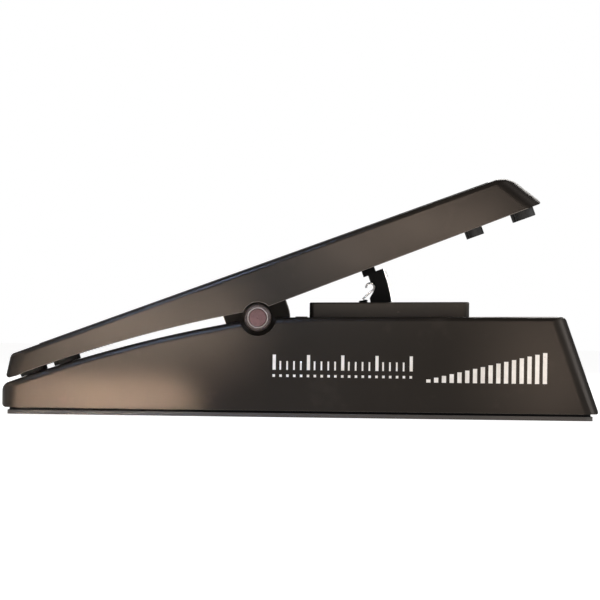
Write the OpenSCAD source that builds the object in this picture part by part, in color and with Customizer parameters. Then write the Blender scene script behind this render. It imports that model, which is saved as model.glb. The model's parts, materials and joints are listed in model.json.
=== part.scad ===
// Foot-operated volume pedal: a rocking treadle on a cross axle turns a potentiometer
// through a sector arm and a drive band. Millimetres, +X towards the toe, +Z up, resting on z = 0.

/* [Overall] */
// Length of the chassis, heel to toe
length = 285; // [260:1:345]
// Width of the chassis and the treadle
width = 102; // [98:1:125]
// Height of the treadle's heel edge above the chassis heel corner when the heel is down
heel_gap = 2.18; // [2:0.01:4]
// Tilt that is left when the toe is down
toe_down_tilt = 0.4; // [0:0.1:1]

/* [Chassis] */
// Thickness of the cast walls
wall = 4; // [3:0.5:5]
// Height of the axle's centre
pivot_h = 47.4; // [46:0.1:55]
// Distance of the axle behind the middle
pivot_back = 20.8; // [15:0.1:30]
// Height of the deck at the axle
deck_h = 47.3; // [45:0.1:48.5]
// Rise of the deck towards the toe, in degrees
deck_slope = 0.9; // [0.5:0.1:2]
// Height of the heel end, at the corner of the ramp
heel_h = 14.2; // [12:0.1:18]
// Height of the ramp's middle corner above a straight line
ramp_bulge = 5.4; // [3:0.1:8]
// How far the toe face leans back over its height
toe_lean = 16.3; // [10:0.1:20]
// Corner radius of the chassis and treadle in plan
plan_r = 7; // [4:0.5:10]
// Radius of the chassis notch around the bushing
chassis_notch_r = 8.8; // [8:0.1:10]

/* [Base] */
// Thickness of the rubber base pad
pad_t = 2; // [1.5:0.1:4]
// Thickness of the steel bottom plate
plate_t = 1.2; // [1:0.1:2]
// How far the pad and plate stand in from the chassis ends
base_inset = 2.6; // [1:0.1:5]

/* [Treadle] */
// Height of the treadle's top above the axle
tread_h = 23.5; // [22:0.1:28]
// Height of the treadle's heel face
heel_t = 10.4; // [10:0.1:12]
// Thickness of the treadle's top plate
tread_plate = 4; // [3:0.5:5]
// Gap between the treadle's lower edge and the chassis
edge_gap = 3.4; // [2.5:0.1:5]
// Radius of the treadle notch around the bushing
tread_notch_r = 7.5; // [7:0.1:8.5]
// Thickness of the tread mat
mat_t = 1.2; // [0.8:0.1:2]
// Depth of the recess that the mat lies in
mat_sink = 0.9; // [0.5:0.1:1.5]

/* [Pivot] */
// Radius of the axle
axle_r = 4.3; // [3:0.1:5]
// Running clearance between axle and bushing
run_fit = 0.05; // [0.02:0.01:0.1]
// Outer radius of the bushings
bush_r = 6.3; // [5.5:0.1:6.8]
// Radius of the treadle's hub discs
hub_r = 15.4; // [12:0.1:18]
// Thickness of a hub disc
hub_t = 7; // [5:0.5:9]
// Thickness of an axle tower
tower_t = 12; // [8:0.5:14]
// Thickness of a thrust washer
thrust_t = 1; // [0.5:0.1:1.5]

/* [Drive] */
// Outer radius of the sector arm
arc_r = 64.7; // [53:0.1:67]
// Radial depth of the sector arm
arc_w = 10; // [8:0.5:11]
// Thickness of the sector arm
arm_t = 5; // [4:0.5:6]
// Radius of the potentiometer's drum
drum_r = 4.6; // [4:0.1:6]
// Thickness of the drive band
band_t = 0.4; // [0.2:0.1:0.6]
// Radius of the potentiometer's case
pot_r = 11.5; // [8:0.5:12]
// Radius of the potentiometer's shaft
shaft_r = 3; // [2:0.1:3.2]

/* [Cover] */
// Length of the slot cover
cover_l = 76.5; // [70:1:84]
// Width of the slot cover
cover_w = 62; // [58:1:72]
// Height of the slot cover above the deck
cover_h = 7.3; // [7:0.1:10]

/* [Jacks] */
// Radius of a jack's bore, for a plug of 6.35 mm
jack_bore_r = 3.25; // [3.2:0.01:3.4]
// Spacing of the jacks
jack_pitch = 24; // [20:0.5:28]
// Height of the jacks
jack_h = 26; // [24:0.5:28]
// Depth of a jack's bore
jack_depth = 31; // [30:0.5:36]

/* [Hidden] */
$fn = 64;

half = length / 2;
side = width / 2;
inner = side - wall;
fit = 0.05;
eps = 0.5;
// Longest straight step along a round, which splits the long ramp curve
arc_step = 5;
base_top = pad_t + plate_t;

// Chassis outline: heel corner, ramp corner, crest at the axle, toe corner
pivot_x = -pivot_back;
crest = [pivot_x + 2.3, deck(pivot_x + 2.3)];
heel_corner = [-half, heel_h];
ramp_dir = atan2(crest.y - heel_h, crest.x + half);
ramp_corner = (heel_corner + crest) / 2 + ramp_bulge * [-sin(ramp_dir), cos(ramp_dir)];
toe_x = half - toe_lean;
toe_corner = [toe_x, deck(toe_x)];
toe_land = 1.4;
// The ramp's round stretch stops this far short of its ends
ramp_end = 9;
chassis_outline = [
    [-half, base_top, 2], [each heel_corner, 4], [each ramp_corner, ramp_r()], [each crest, 20],
    [each toe_corner, 2.5], [half, base_top + toe_land, 1], [half, base_top, 1]
];

// Treadle outline, level, about the axle
tread_heel = -(half - pivot_back) - 1.9;
heel_edge = [tread_heel, tread_h - heel_t];
// The treadle tilts until its heel edge is the gap above the chassis heel corner
rest_tilt = 180 - atan2(heel_edge.y, heel_edge.x)
    + asin((pivot_h - heel_h - heel_gap) / norm(heel_edge));
travel = rest_tilt - toe_down_tilt;
tread_toe = toe_x + pivot_back - 0.5;
heel_lean = 6.7;
toe_face_lean = 11.3;
toe_round = 10;
edge_crest = level(crest + [0, edge_gap]);
edge_ramp = level(ramp_corner + [0, edge_gap - 0.2]);
heel_top = [tread_heel + heel_lean, tread_h];
toe_edge = [tread_toe, tread_low(tread_toe)];
toe_top = [tread_toe - toe_face_lean, tread_h];
tread_outline = [
    [each heel_edge, 1.5], [each edge_ramp, ramp_r()], [edge_crest.x, tread_low(0), 20],
    [each toe_edge, 1], [each toe_top, toe_round], [each heel_top, 2]
];

// The treadle's hollow: the same outline, with its lower corners carried down so that it opens below
hollow_drop = 2 * tread_plate;
tread_hollow = [
    [each carried(heel_edge, heel_top), 1.5], [edge_ramp.x, edge_ramp.y - hollow_drop, ramp_r()],
    [edge_crest.x, tread_low(0) - hollow_drop, 20], [each carried(toe_edge, toe_top), 1],
    [each toe_top, toe_round], [each heel_top, 2]
];
mat_in = 16;
mat_side = 6;
rib_t = 2.5;
rib_h = 5;
rib_x = [tread_heel + 28, tread_heel + 63, hub_r + 9, tread_toe - 56];

// Across the width
hub_out = inner - 1;
hub_in = hub_out - hub_t;
tower_out = hub_in - thrust_t;
tower_r = 8;
well_half = hub_r + 2.6;
well_floor = pivot_h - hub_r - 2;
floor_t = 3;
lip_h = 0.5;

// Screws: shank and head radii and head height
m3 = [1.5, 2.8, 1.6];
m4 = [2, 3.8, 1.4];
post_r = 4.5;
post_y = inner - post_r + 1;
post_x = [-half + 15, pivot_x - 29, toe_x - 16];
under_post_r = 3.5;
thread_gap = 0.1;
socket_share = 0.6;
base_screw_l = 8;

// Brake and axle locks
brake_y = -(hub_out + hub_in) / 2;
shoe_r = 3;
shoe_l = 5.5;
shoe_z = pivot_h - hub_r - fit - shoe_l;
brake_boss_r = 5.5;
brake_boss_l = 16;
brake_screw_l = 12;
lock_r = 2.5;
lock_l = 7;
lock_y = tower_out - tower_t / 2;

// Slot cover
cover_x = pivot_x + 24.8;
cover_wall = 2;
cover_top = 2;
cover_post_r = 4.8;
cover_inset = 6;
cover_screw_x = [cover_x + cover_inset, cover_x + cover_l - cover_inset];
cover_screw_y = cover_w / 2 - cover_inset;
head_sink = 0.4;
head_gap = 0.3;
slot_half = 4.5;
opening_half = cover_w / 2 - 9;

// Sector arm, level, about the axle
arc_top = 1.9;
arc_end = 12;
arc_low = -31;
neck_x = [arc_r - 10.2, arc_r - 3.7];
foot_t = 3;
foot_half = 9;
foot_x = [neck_x[0] - 4.5, neck_x[1] + 6];
foot_z = tread_h - tread_plate - foot_t;
arm_screw_y = 6;
notch_at = [arc_r - 8.85, -4.55];
notch_mouth = 4;
hook_from = -80;
hook_turn = 250;
notch_r = 2.4;
notch_inner_r = arc_r - 7.9;
band_half = 2;
band_screw_at = -1;
arm_mid_r = arc_r - arc_w / 2;
band_screw_r = 0.8;
spring_r = 2.2;
spring_at_r = arc_r - 13.2;
spring_from = -10;
spring_to = -27;
wire_r = 0.45;
hook_r = notch_r - wire_r - 0.02;
hook_end = notch_at + hook_r * [cos(hook_from), sin(hook_from)];
spring_a = spring_at_r * [cos(spring_from), sin(spring_from)];
spring_b = spring_at_r * [cos(spring_to), sin(spring_to)];
spring_tip = spring_a + (wire_r + fit) * unit(spring_a - spring_b);
tail_from = (arc_r - arc_w - band_t) * [cos(arc_low), sin(arc_low)];

// Potentiometer
drum_fall = 7.34;
roll_gap = 0.15;
loop_r = drum_r + band_t;
drum_dist = arc_r + band_t + roll_gap + loop_r;
drum_x = pivot_x + sqrt(drum_dist ^ 2 - drum_fall ^ 2);
drum_z = pivot_h - drum_fall;
flange_r = drum_r + 1.2;
flange_t = 0.8;
drum_half = arm_t / 2 + 0.3 + flange_t;
drum_screw_r = 0.8;
pot_washer_t = 0.6;
pot_nut_t = 2;
thread_y = drum_half + 0.5;
bracket_y = thread_y + 0.5 + pot_nut_t + pot_washer_t;
bracket_t = 2;
pot_y = bracket_y + bracket_t;
pot_l = 12;
pot_thread_r = 3.6;
pot_bore = 0.03;
lug = [3, 1, 3];
lug_pitch = 5;
lug_y = pot_y + 4;
bracket_foot = [drum_x + 28, drum_x + 42];
bracket_foot_z = deck(bracket_foot.x) - wall - 4;
opening_x = [cover_x + 11, drum_x + pot_r + 9.3];
bracket_foot_y = 30;
bracket_screw = [for (y = [14, 24]) [(bracket_foot[0] + bracket_foot[1]) / 2, y]];
bracket_screw_l = 4;

// Jacks and circuit board
plate_x = toe_x - 5.2;
jack_plate_t = 2;
pocket_half = jack_pitch + 14;
pocket_z = [jack_h - 12, jack_h + 12];
pocket_wall = 3;
flange = 2;
flange_d = 4;
plate_screw_y = pocket_half + 1;
jack_thread_r = 4.4;
jack_thread_l = 4.5;
jack_w = 15;
jack_floor = 2;
jack_tall = 18;
jack_back = plate_x - jack_plate_t;
jack_end = plate_x + jack_thread_l;
washer_t = 0.6;
nut_t = 2.5;
nut_across = 12.7;
board_t = 1.6;
board_z = jack_h + jack_tall / 2 + m3[2] + 0.2;
board_x = [jack_back - 27, jack_back - 2];
board_half = jack_pitch + jack_w / 2 + 2;
board_screw_x = jack_back - 13;
board_post_r = 3.2;
lead_x = board_x[0] + 2;
lead_y = jack_pitch / 2;
lead_low = jack_h - 4;
lead_r = 0.6;
lead_pitch = 2.5;

// Bumpers, level, about the axle: position along the treadle and radius
toe_bumper = [tread_toe - 9.5, 4.85];
mid_bumper = [tread_toe - 34.5, 3.65];
bumper_y = side - 15;
bumper_h = 9;
bumper_wall = 2.2;
mid_gap = 0.2;
stop_gap = 0.2;
heel_bumper_r = 5.6;
heel_bumper_x = [-half + 14.1, -half + 30.1];
heel_bumper_h = 7;
bumper_screw_r = 1.5;

// Height of the deck at x
function deck(x) = deck_h + tan(deck_slope) * (x - pivot_x);
// Height of the treadle's lower edge at x from the axle, on the toe side
function tread_low(x) = deck(x + pivot_x) - pivot_h + edge_gap;
// Radius of the ramp, from its corner's turn and the shorter leg
function ramp_turn() = atan2(ramp_corner.y - heel_h, ramp_corner.x + half)
    - atan2(crest.y - ramp_corner.y, crest.x - ramp_corner.x);
function ramp_r() = (norm(crest - ramp_corner) - ramp_end) / tan(ramp_turn() / 2);
// A chassis point carried into the treadle's level frame about the axle
function level(p) = turn(p - [pivot_x, pivot_h], -rest_tilt);
function turn(p, a) = [p.x * cos(a) - p.y * sin(a), p.x * sin(a) + p.y * cos(a)];
function unit(v) = v / norm(v);
function cross2(a, b) = a.x * b.y - a.y * b.x;
// A lower corner carried down along the end face below its upper corner
function carried(low, top) = low + (low - top) * hollow_drop / (top.y - low.y);

// Points of a round of radius r at corner b between a and c
function round_corner(a, b, c, r) =
    let (u = unit(a - b), v = unit(c - b), full = acos(u * v), bend = 180 - full)
    let (d = r * tan(bend / 2), mid = b + unit(u + v) * r / sin(full / 2), start = b + u * d)
    let (way = cross2(b - a, c - b) > 0 ? 1 : -1, arc = r * bend * PI / 180)
    let (n = max(2, ceil(bend / 6), ceil(arc / arc_step)))
    [for (i = [0:n]) mid + turn(start - mid, way * bend * i / n)];

// An outline of [x, z, radius] corners, with its rounds made
function rounded(v) = [
    for (i = [0:len(v) - 1])
        let (n = len(v), a = v[(i + n - 1) % n], b = v[i], c = v[(i + 1) % n])
        let (p = [b[0], b[1]])
        each b[2] > 0 ? round_corner([a[0], a[1]], p, [c[0], c[1]], b[2]) : [p]
];

// The same outline moved inwards by d, with its rounds reduced to suit
function inset(v, d) =
    let (n = len(v), p = [for (q = v) [q[0], q[1]]])
    let (area = [for (i = [0:n - 1]) cross2(p[i], p[(i + 1) % n])])
    let (way = sum(area) > 0 ? 1 : -1)
    [for (i = [0:n - 1])
        let (e = unit(p[i] - p[(i + n - 1) % n]), f = unit(p[(i + 1) % n] - p[i]))
        let (ne = way * [-e.y, e.x], nf = way * [-f.y, f.x], convex = way * cross2(e, f) > 0)
        let (q = p[i] + d * (ne + nf) / (1 + ne * nf))
        [q.x, q.y, convex ? max(v[i][2] - d, 0.5) : v[i][2] + d]];
function sum(v, i = 0) = i < len(v) ? v[i] + sum(v, i + 1) : 0;

// Extrusion of a side outline across the width, between two values of y
module slab(y0, y1) {
    translate([0, y1, 0]) rotate([90, 0, 0]) linear_extrude(y1 - y0) children();
}

// Cylinders along Y and X, and a tube-like ring along Y
module pin_y(r, y0, y1) {
    slab(y0, y1) circle(r);
}
module pin_x(r, x0, x1) {
    translate([x0, 0, 0]) rotate([0, 90, 0]) cylinder(r = r, h = x1 - x0);
}
module ring_y(r1, r2, y0, y1) {
    slab(y0, y1) difference() {
        circle(r2);
        circle(r1);
    }
}

// Rounded rectangle in plan, standing on z0
module plan(x0, x1, half_w, r, z0, h) {
    translate([0, 0, z0]) linear_extrude(h) round_rect(x0, x1, half_w, r);
}
module round_rect(x0, x1, half_w, r) {
    polygon(rounded([[x0, -half_w, r], [x1, -half_w, r], [x1, half_w, r], [x0, half_w, r]]));
}

// Box between two corners
module block(a, b) {
    translate(a) cube(b - a);
}

module at_pivot(a = 0) {
    translate([pivot_x, 0, pivot_h]) rotate([0, a, 0]) children();
}
// The treadle and all that it carries, modelled level, set at its rest tilt
module on_treadle() {
    at_pivot(-rest_tilt) children();
}
module both_sides() {
    children();
    mirror([0, 1, 0]) children();
}
// The screw posts in the chassis, at the base's level
module at_posts() {
    for (x = post_x, s = [-1, 1]) translate([x, s * post_y, 0]) children();
}
module at_jacks() {
    for (i = [-1:1]) translate([0, i * jack_pitch, jack_h]) children();
}
// A round-headed screw along +Z, its head below z = 0, with a hexagon socket
module screw(size, l) {
    translate([0, 0, -size[2]]) difference() {
        union() {
            cylinder(r = size[1], h = size[2]);
            cylinder(r = size[0], h = size[2] + l);
        }
        translate([0, 0, -eps])
            cylinder(r = size[0] * socket_share, h = size[2] * socket_share + eps, $fn = 6);
    }
}
// A grub screw along +Z from z = 0, with its socket at the low end
module grub(r, l) {
    difference() {
        cylinder(r = r, h = l);
        translate([0, 0, -eps]) cylinder(r = r * socket_share, h = l * socket_share / 2 + eps, $fn = 6);
    }
}

// ---- Chassis and what is fixed to it ----

module chassis_solid() {
    intersection() {
        slab(-side, side) polygon(rounded(chassis_outline));
        plan(-half, half, side, plan_r, 0, pivot_h + cover_h);
    }
}
module cavity() {
    slab(-inner, inner) difference() {
        polygon(rounded(inset(chassis_outline, wall)));
        translate([-length, -length]) square([2 * length, length + base_top]);
    }
    slab(-inner, inner) translate([-half + wall, 0])
        square([length - 2 * wall, base_top + wall + 0.5]);
}
module base_posts() {
    at_posts() translate([0, 0, base_top]) cylinder(r = post_r, h = pivot_h);
}
module under_deck_post(p, r, z) {
    translate([p.x, p.y, z]) cylinder(r = r, h = deck(p.x) - wall / 2 - z);
}
module chassis() color("#1c1b1b") difference() {
    union() {
        difference() {
            chassis_solid();
            cavity();
        }
        intersection() {
            chassis_solid();
            union() {
                base_posts();
                block([pivot_x - well_half - floor_t, -inner - eps, well_floor - floor_t],
                    [pivot_x + well_half + floor_t, inner + eps, pivot_h]);
                for (x = cover_screw_x, s = [-1, 1])
                    under_deck_post([x, s * cover_screw_y], under_post_r, deck(x) - wall - 3);
                for (p = bracket_screw) under_deck_post(p, under_post_r, bracket_foot_z);
                for (s = [-1, 1])
                    under_deck_post([board_screw_x, s * jack_pitch / 2], board_post_r, board_z + board_t);
                block([plate_x, -pocket_half - flange - pocket_wall, pocket_z[0] - flange - pocket_wall],
                    [half, pocket_half + flange + pocket_wall, pocket_z[1] + flange + pocket_wall]);
                translate([pivot_x, brake_y, well_floor - floor_t - brake_boss_l])
                    cylinder(r = brake_boss_r, h = brake_boss_l + floor_t);
            }
        }
        // Lip along the toe edge of the well
        block([pivot_x + well_half, -inner, deck(pivot_x) - wall],
            [cover_x - 1, inner, deck(pivot_x + well_half) + lip_h]);
    }
    // Well for the treadle's hubs
    difference() {
        block([pivot_x - well_half, -inner, well_floor], [pivot_x + well_half, inner, pivot_h + cover_h]);
        both_sides() at_pivot() slab(tower_out - tower_t, tower_out) tower_shape();
    }
    // Axle bore, locks and the notches in the side walls
    at_pivot() pin_y(axle_r + fit / 2, -tower_out - eps, tower_out + eps);
    at_pivot() pin_y(chassis_notch_r, -side - eps, -inner + eps);
    at_pivot() pin_y(chassis_notch_r, inner - eps, side + eps);
    both_sides() translate([pivot_x, lock_y, 0]) cylinder(r = lock_r, h = pivot_h);
    translate([pivot_x, brake_y, 0]) cylinder(r = shoe_r + fit, h = pivot_h);
    // Opening under the cover, and its screw holes
    block([opening_x[0], -opening_half, 0], [opening_x[1], opening_half, pivot_h + cover_h]);
    at_cover_screws() cylinder(r = m3[0], h = pivot_h + cover_h);
    // Pocket and window for the jacks
    block([plate_x + flange_d, -pocket_half, pocket_z[0]], [half + eps, pocket_half, pocket_z[1]]);
    block([plate_x - eps, -pocket_half + flange, pocket_z[0] + flange],
        [half, pocket_half - flange, pocket_z[1] - flange]);
    // Blind holes for screws from below
    at_posts() cylinder(r = m4[0], h = base_top + base_screw_l);
    for (p = bracket_screw) translate([p.x, p.y, 0]) cylinder(r = m3[0], h = deck(p.x) - wall / 2);
    for (s = [-1, 1]) translate([board_screw_x, s * jack_pitch / 2, 0])
        cylinder(r = m3[0], h = deck(board_screw_x) - wall / 2);
    for (s = [-1, 1]) translate([0, s * plate_screw_y, jack_h]) pin_x(m3[0], 0, plate_x + flange_d - 1);
}
// Upright with a round top that holds the axle, about the axle
module tower_shape() {
    circle(tower_r);
    translate([-tower_r, well_floor - pivot_h - eps]) square([2 * tower_r, pivot_h - well_floor + eps]);
}

module bottom_plate() color("#3a3a3a") difference() {
    plan(-half + base_inset + 1, half - base_inset - 1, side - 2, plan_r - 2, pad_t, plate_t);
    at_posts() cylinder(r = m4[0], h = base_top + eps);
    translate([pivot_x, brake_y, 0]) cylinder(r = shoe_r, h = base_top + eps);
}
module base_pad() color("#151515") difference() {
    plan(-half + base_inset, half - base_inset, side - 1, plan_r - 1, 0, pad_t);
    at_posts() translate([0, 0, -eps]) cylinder(r = m4[1] + 1, h = base_top);
    translate([pivot_x, brake_y, -eps]) cylinder(r = shoe_r + 1, h = base_top);
}
module base_screws() color("#8b8b8b")
    at_posts() translate([0, 0, pad_t]) screw(m4, plate_t + base_screw_l - 0.5);

// Box that follows the deck's slope, between two heights above it
module over_deck(x0, x1, half_w, h0, h1, r) {
    intersection() {
        slab(-half_w, half_w) polygon([
            [x0, deck(x0) + h0], [x1, deck(x1) + h0], [x1, deck(x1) + h1], [x0, deck(x0) + h1]
        ]);
        plan(x0, x1, half_w, r, 0, pivot_h + tread_h);
    }
}
module at_cover_screws() {
    for (x = cover_screw_x, s = [-1, 1]) translate([x, s * cover_screw_y, 0]) children();
}
// The places where the cover's screw heads sit, sunk below its top
module at_cover_heads() {
    for (x = cover_screw_x, s = [-1, 1])
        translate([x, s * cover_screw_y, deck(x) + cover_h - m3[2] - head_sink]) children();
}
module slot_cover() color("#171717") difference() {
    union() {
        difference() {
            over_deck(cover_x, cover_x + cover_l, cover_w / 2, 0, cover_h, 2.5);
            over_deck(cover_x + cover_wall, cover_x + cover_l - cover_wall, cover_w / 2 - cover_wall,
                -eps, cover_h - cover_top, 1);
        }
        intersection() {
            over_deck(cover_x, cover_x + cover_l, cover_w / 2, 0, cover_h - cover_top / 2, 2.5);
            at_cover_screws() cylinder(r = cover_post_r, h = pivot_h + cover_h);
        }
    }
    block([pivot_x + spring_at_r - 5, -slot_half, 0], [pivot_x + arc_r + 2.5, slot_half, pivot_h + tread_h]);
    at_cover_screws() cylinder(r = m3[0] + 2 * thread_gap, h = pivot_h + cover_h);
    at_cover_heads() cylinder(r = m3[1] + head_gap, h = cover_h);
}
module cover_screws() color("#6f6f6f") at_cover_heads() rotate([180, 0, 0]) screw(m3, cover_h + 2);

module pivot_axle() color("#7d6664") at_pivot() pin_y(axle_r, -side + 0.4, side - 0.4);
module axle_set_screws() color("#4c4c4c") both_sides()
    translate([pivot_x, lock_y, pivot_h - axle_r - lock_l]) grub(lock_r, lock_l);
module thrust_washers() color("#d9d4c8") both_sides() at_pivot()
    ring_y(axle_r + run_fit, tower_r - 0.5, tower_out, hub_in - fit);
module brake_shoe() color("#e6e1d2") translate([pivot_x, brake_y, shoe_z])
    cylinder(r = shoe_r, h = shoe_l);
module tension_screw() color("#555555")
    translate([pivot_x, brake_y, shoe_z - brake_screw_l]) grub(shoe_r + fit, brake_screw_l);

module jack_plate() color("#9a9a9a") difference() {
    block([jack_back, -plate_screw_y - 4, pocket_z[0] - 1], [plate_x, plate_screw_y + 4, pocket_z[1] + 1]);
    at_jacks() pin_x(jack_thread_r + fit, 0, half);
    for (s = [-1, 1]) translate([0, s * plate_screw_y, jack_h]) pin_x(m3[0] + thread_gap, 0, half);
}
module plate_screws() color("#6f6f6f") for (s = [-1, 1])
    translate([jack_back, s * plate_screw_y, jack_h]) rotate([0, 90, 0])
        screw(m3, jack_plate_t + flange_d - 2);
module jack(i) color("#202020") translate([0, i * jack_pitch, jack_h]) difference() {
    union() {
        block([jack_end - jack_depth - jack_floor, -jack_w / 2, -jack_tall / 2],
            [jack_back, jack_w / 2, jack_tall / 2]);
        pin_x(jack_thread_r, jack_back - eps, jack_end);
    }
    pin_x(jack_bore_r, jack_end - jack_depth, jack_end + eps);
}
module input_jack() jack(-1);
module aux_jack() jack(0);
module output_jack() jack(1);
module jack_washers() color("#b9b9b9") at_jacks() difference() {
    pin_x(nut_across / 2, plate_x, plate_x + washer_t);
    pin_x(jack_thread_r + fit, 0, half);
}
module jack_nuts() color("#c4c4c4") at_jacks() difference() {
    translate([plate_x + washer_t, 0, 0]) rotate([0, 90, 0])
        cylinder(d = nut_across / cos(30), h = nut_t, $fn = 6);
    pin_x(jack_thread_r, 0, half);
}

module circuit_board() color("#1f5d3a") difference() {
    block([board_x[0], -board_half, board_z], [board_x[1], board_half, board_z + board_t]);
    for (s = [-1, 1]) translate([board_screw_x, s * jack_pitch / 2, board_z - eps])
        cylinder(r = m3[0] + thread_gap, h = board_t + 2 * eps);
}
module board_screws() color("#9a9a9a") for (s = [-1, 1])
    translate([board_screw_x, s * jack_pitch / 2, board_z]) screw(m3, board_t + 4);

// A round wire through points
module wire(p, r) {
    for (i = [0:len(p) - 2]) hull() {
        translate(p[i]) sphere(r = r, $fn = 12);
        translate(p[i + 1]) sphere(r = r, $fn = 12);
    }
}
// Three leads, one inside the next, from the potentiometer's lugs to the board
module pot_wires() color("#a03a2c") for (i = [-1:1]) {
    from_x = drum_x + i * lug_pitch;
    to_x = lead_x + (1 - i) * lead_pitch;
    low = lead_low + i * lead_pitch;
    wire([
        [from_x, lug_y, drum_z - pot_r - lug.z - lead_r], [from_x, lug_y, low + lead_r],
        [from_x + 2 * lead_r, lug_y, low], [to_x - 2 * lead_r, lead_y, low],
        [to_x, lead_y, low + 2 * lead_r], [to_x, lead_y, board_z - lead_r]
    ], lead_r);
}
module pot_bracket() color("#8c8c88") difference() {
    union() {
        slab(bracket_y, pot_y) polygon([
            [drum_x - 9, drum_z - 10], [drum_x + 12, drum_z - 10], [bracket_foot[1], bracket_foot_z - 8],
            [bracket_foot[1], bracket_foot_z], [drum_x + 16, bracket_foot_z], [drum_x + 9, drum_z + 9],
            [drum_x - 9, drum_z + 9]
        ]);
        block([bracket_foot[0], bracket_y, bracket_foot_z - bracket_t],
            [bracket_foot[1], bracket_foot_y, bracket_foot_z]);
    }
    translate([drum_x, 0, drum_z]) pin_y(pot_thread_r + fit, 0, bracket_foot_y);
    for (p = bracket_screw) translate([p.x, p.y, 0]) cylinder(r = m3[0] + thread_gap, h = pivot_h);
}
module bracket_screws() color("#6f6f6f") for (p = bracket_screw)
    translate([p.x, p.y, bracket_foot_z - bracket_t]) screw(m3, bracket_t + bracket_screw_l);
module potentiometer() color("#8f8f8f") translate([drum_x, 0, drum_z]) difference() {
    union() {
        pin_y(pot_r, pot_y, pot_y + pot_l);
        pin_y(pot_thread_r, thread_y, pot_y + eps);
        for (i = [-1:1]) block([i * lug_pitch - lug.x / 2, lug_y - lug.y / 2, -pot_r - lug.z],
            [i * lug_pitch + lug.x / 2, lug_y + lug.y / 2, 0]);
    }
    pin_y(shaft_r + pot_bore, thread_y - eps, pot_y + pot_l - 3);
}
module pot_washer() color("#c0c0c0") translate([drum_x, 0, drum_z])
    ring_y(pot_thread_r + fit, 6, bracket_y - pot_washer_t, bracket_y);
module pot_nut() color("#c9c2a0") translate([drum_x, 0, drum_z]) difference() {
    slab(bracket_y - pot_washer_t - pot_nut_t, bracket_y - pot_washer_t) circle(d = 11.5, $fn = 6);
    pin_y(pot_thread_r, 0, bracket_y);
}

// ---- Treadle and what it carries ----

module bumper_seat(at, top) {
    translate([at[0], bumper_y, bumper_low(at[0]) + edge_gap]) cylinder(r = at[1] + bumper_wall, h = top);
}
// Lowest point of a toe-side bumper, which meets the deck at the end of the travel
function bumper_low(x) = deck(x + pivot_x) - pivot_h - x * tan(rest_tilt - travel) + stop_gap;
module treadle_solid() {
    intersection() {
        slab(-side, side) polygon(rounded(tread_outline));
        plan(tread_heel, tread_toe, side, plan_r, -hub_r, 2 * tread_h);
    }
}
module treadle() color("#1a1919") difference() {
    union() {
        on_treadle() difference() {
            treadle_solid();
            slab(-inner, inner) polygon(rounded(inset(tread_hollow, tread_plate)));
        }
        on_treadle() intersection() {
            slab(-inner - eps, inner + eps) polygon(rounded(tread_outline));
            union() {
                both_sides() {
                    bumper_seat(toe_bumper, tread_h);
                    bumper_seat(mid_bumper, tread_h);
                }
                for (x = rib_x) block([x, -inner - eps, tread_h - tread_plate - rib_h],
                    [x + rib_t, inner + eps, tread_h - eps]);
            }
        }
        intersection() {
            on_treadle() slab(-inner - eps, inner + eps) polygon(rounded(tread_outline));
            both_sides() at_heel_bumpers() cylinder(r = heel_bumper_r + bumper_wall, h = 30);
        }
        on_treadle() both_sides() slab(hub_in, hub_out) {
            circle(hub_r);
            translate([-hub_r, 0]) square([2 * hub_r, tread_h - tread_plate / 2]);
        }
    }
    on_treadle() {
        pin_y(bush_r, -side - eps, side + eps);
        pin_y(tread_notch_r, -side - eps, -inner);
        pin_y(tread_notch_r, inner, side + eps);
        both_sides() {
            bumper_hole(toe_bumper);
            bumper_hole(mid_bumper);
        }
        at_arm_screws() cylinder(r = m3[0], h = tread_h - 0.4 * tread_plate);
        mat_shape(2 * fit, tread_h);
    }
    both_sides() at_heel_bumpers() {
        cylinder(r = heel_bumper_r, h = heel_bumper_h);
        cylinder(r = bumper_screw_r, h = heel_bumper_h + 4);
    }
}
module at_arm_screws() {
    for (s = [-1, 1]) translate([(neck_x[0] + neck_x[1]) / 2, s * arm_screw_y, 0]) children();
}
module bumper_hole(at) {
    translate([at[0], bumper_y, bumper_low(at[0])]) {
        cylinder(r = at[1], h = bumper_h);
        cylinder(r = bumper_screw_r, h = bumper_h + 5);
    }
}
// Places on the ramp, square to its curve, just clear of it
module at_heel_bumpers() {
    for (x = heel_bumper_x) {
        c = ramp_centre();
        a = asin((x - c.x) / ramp_r());
        translate([c.x, bumper_y, c.y]) rotate([0, a, 0]) translate([0, 0, ramp_r() + fit]) children();
    }
}
// Centre of the ramp's curve, found from its corner
function ramp_centre() =
    let (u = unit(heel_corner - ramp_corner), v = unit(crest - ramp_corner))
    ramp_corner + unit(u + v) * ramp_r() / cos(ramp_turn() / 2);

module tread_mat() color("#101010") on_treadle() mat_shape(0, mat_t);
// The mat's outline, grown by a gap, standing on the recess floor
module mat_shape(gap, h) {
    plan(tread_heel + mat_in - gap, tread_toe - mat_in + gap, side - mat_side + gap,
        plan_r, tread_h - mat_sink, h);
}

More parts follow.
